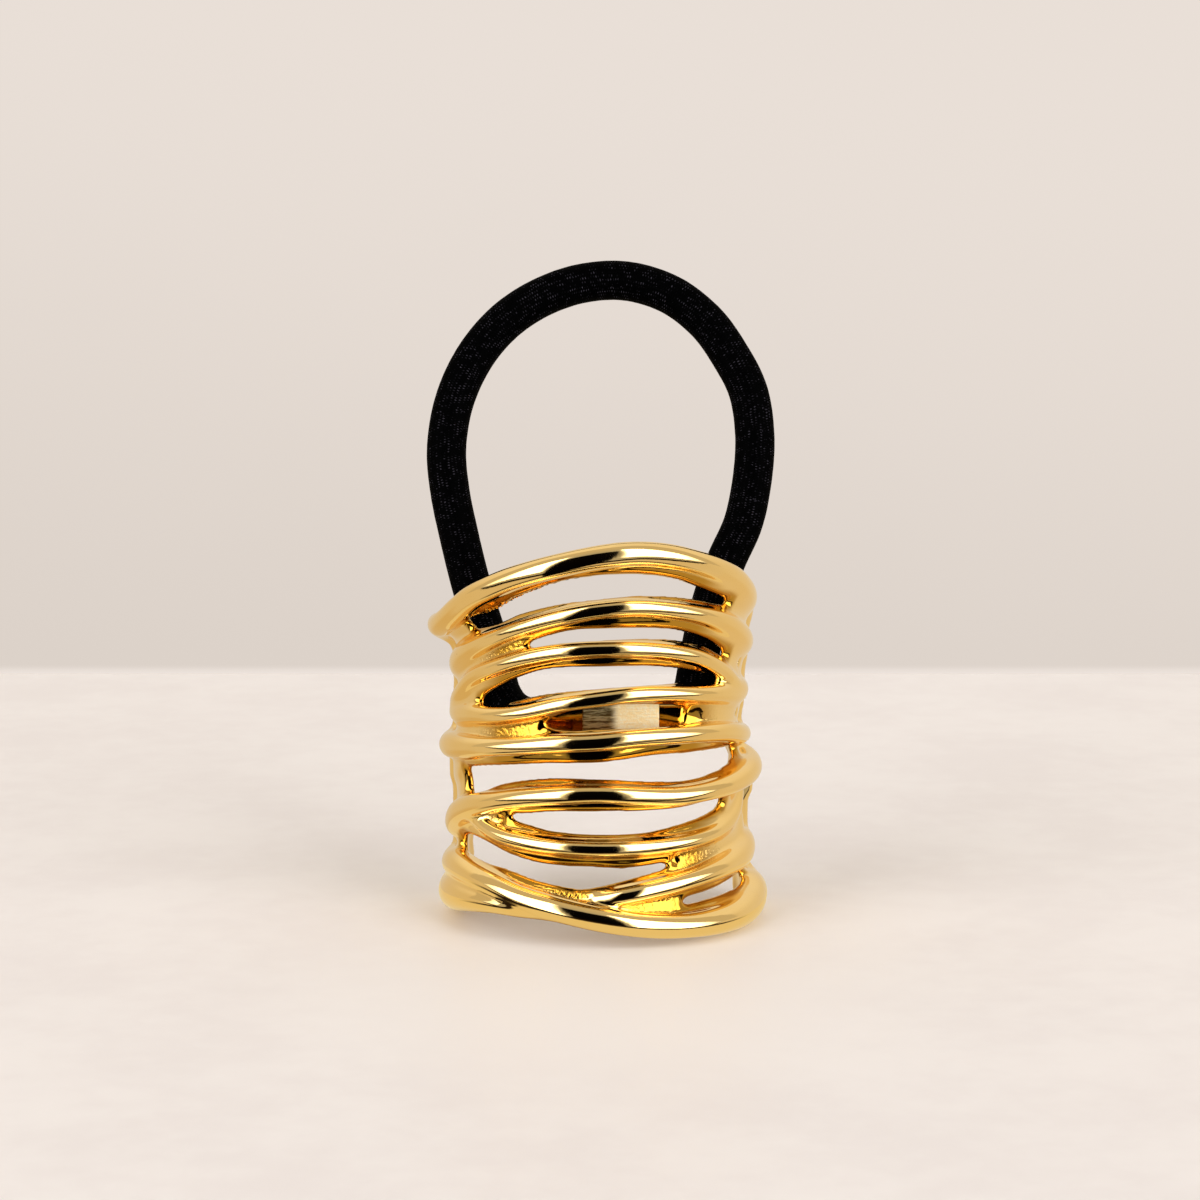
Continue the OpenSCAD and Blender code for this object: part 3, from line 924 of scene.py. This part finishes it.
def wall_material():
    """Glows with an even strength, with painted shade that makes it darker low down and to the left,
    and is clear from behind.
    """
    made, t = new_material("pale_wall")
    place = t.node("ShaderNodeTexCoord").outputs["Object"]
    split = t.node("ShaderNodeSeparateXYZ", None, {0: place}).outputs
    aside = Value(t, split[0])
    high = Value(t, split[2])
    mottle = t.noise(place, 14, 4) * 0.35 - 0.17
    # Painted shade: darker low down and to the left, then paler in a thin strip at the floor
    tone = t.mix(t.rise(high + aside * 0.12 + mottle * 0.05, -0.025, 0.1),
                 colour(0.86, 0.82, 0.785), colour(0.914, 0.875, 0.843))
    tone = t.mix(t.rise(high, 0.0, 0.0016), colour(0.93, 0.89, 0.86), tone)
    glow = t.node("ShaderNodeEmission", None, {"Color": tone, "Strength": 1.0})
    clear = t.node("ShaderNodeBsdfTransparent")
    behind = t.node("ShaderNodeNewGeometry").outputs["Backfacing"]
    both = t.node("ShaderNodeMixShader", None, {0: behind, 1: glow.outputs[0], 2: clear.outputs[0]})
    t.node("ShaderNodeOutputMaterial", None, {"Surface": both.outputs[0]})
    return made


def mirrored_material():
    """The floor's brightness as the metal mirrors it."""
    made, t = new_material("floor_mirrored")
    place = t.node("ShaderNodeTexCoord").outputs["Object"]
    reach = t.value("ShaderNodeVectorMath", {"operation": "LENGTH"}, {0: place}, "Value")
    split = t.node("ShaderNodeSeparateXYZ", None, {0: place}).outputs
    turn = t.maths("ABSOLUTE", t.maths("ARCTAN2", split[0], Value(t, split[1]) * -1.0))
    in_front = 1 - t.rise(turn, math.radians(60), math.radians(85))
    lit = t.mix(t.rise(reach, (INSIDE_REACH - 2) * MM, (INSIDE_REACH + 3) * MM),
                (0.32, 0.2, 0.08, 1.0), (0.8, 0.68, 0.44, 1.0))
    lit = t.mix(t.rise(reach, (GLOW_REACH - 1) * MM, (GLOW_REACH + 1) * MM) * in_front,
                lit, (0.02, 0.012, 0.006, 1.0))
    glow = t.node("ShaderNodeEmission", None, {"Color": lit, "Strength": 1.0})
    t.node("ShaderNodeOutputMaterial", None, {"Surface": glow.outputs[0]})
    return made


def add_stage():
    far = FLOOR_REACH
    back = WALL_PLACE
    floor = flat_piece("floor", [(-far, -far, 0), (far, -far, 0), (far, far, 0), (-far, far, 0)],
                       floor_material())
    wall = flat_piece("wall", [(-far, back, 0), (far, back, 0), (far, back, far), (-far, back, far)],
                      wall_material())
    turns = [a * math.tau / SHADE_SIDES for a in range(SHADE_SIDES)]
    mirrored = flat_piece("floor_mirrored", [
        (SHADE_REACH * math.cos(turn), SHADE_REACH * math.sin(turn), SHADE_DEPTH) for turn in turns],
        mirrored_material())
    floor.visible_glossy = False
    wall.visible_glossy = False
    wall.visible_diffuse = False
    wall.visible_shadow = False
    mirrored.visible_camera = False
    mirrored.visible_diffuse = False
    mirrored.visible_shadow = False
    mirrored.visible_transmission = False


bpy.context.scene.view_settings.view_transform = "Standard"
add_camera()
add_elastic()
add_cuff()
add_sleeve()
paint_studio()
add_stage()
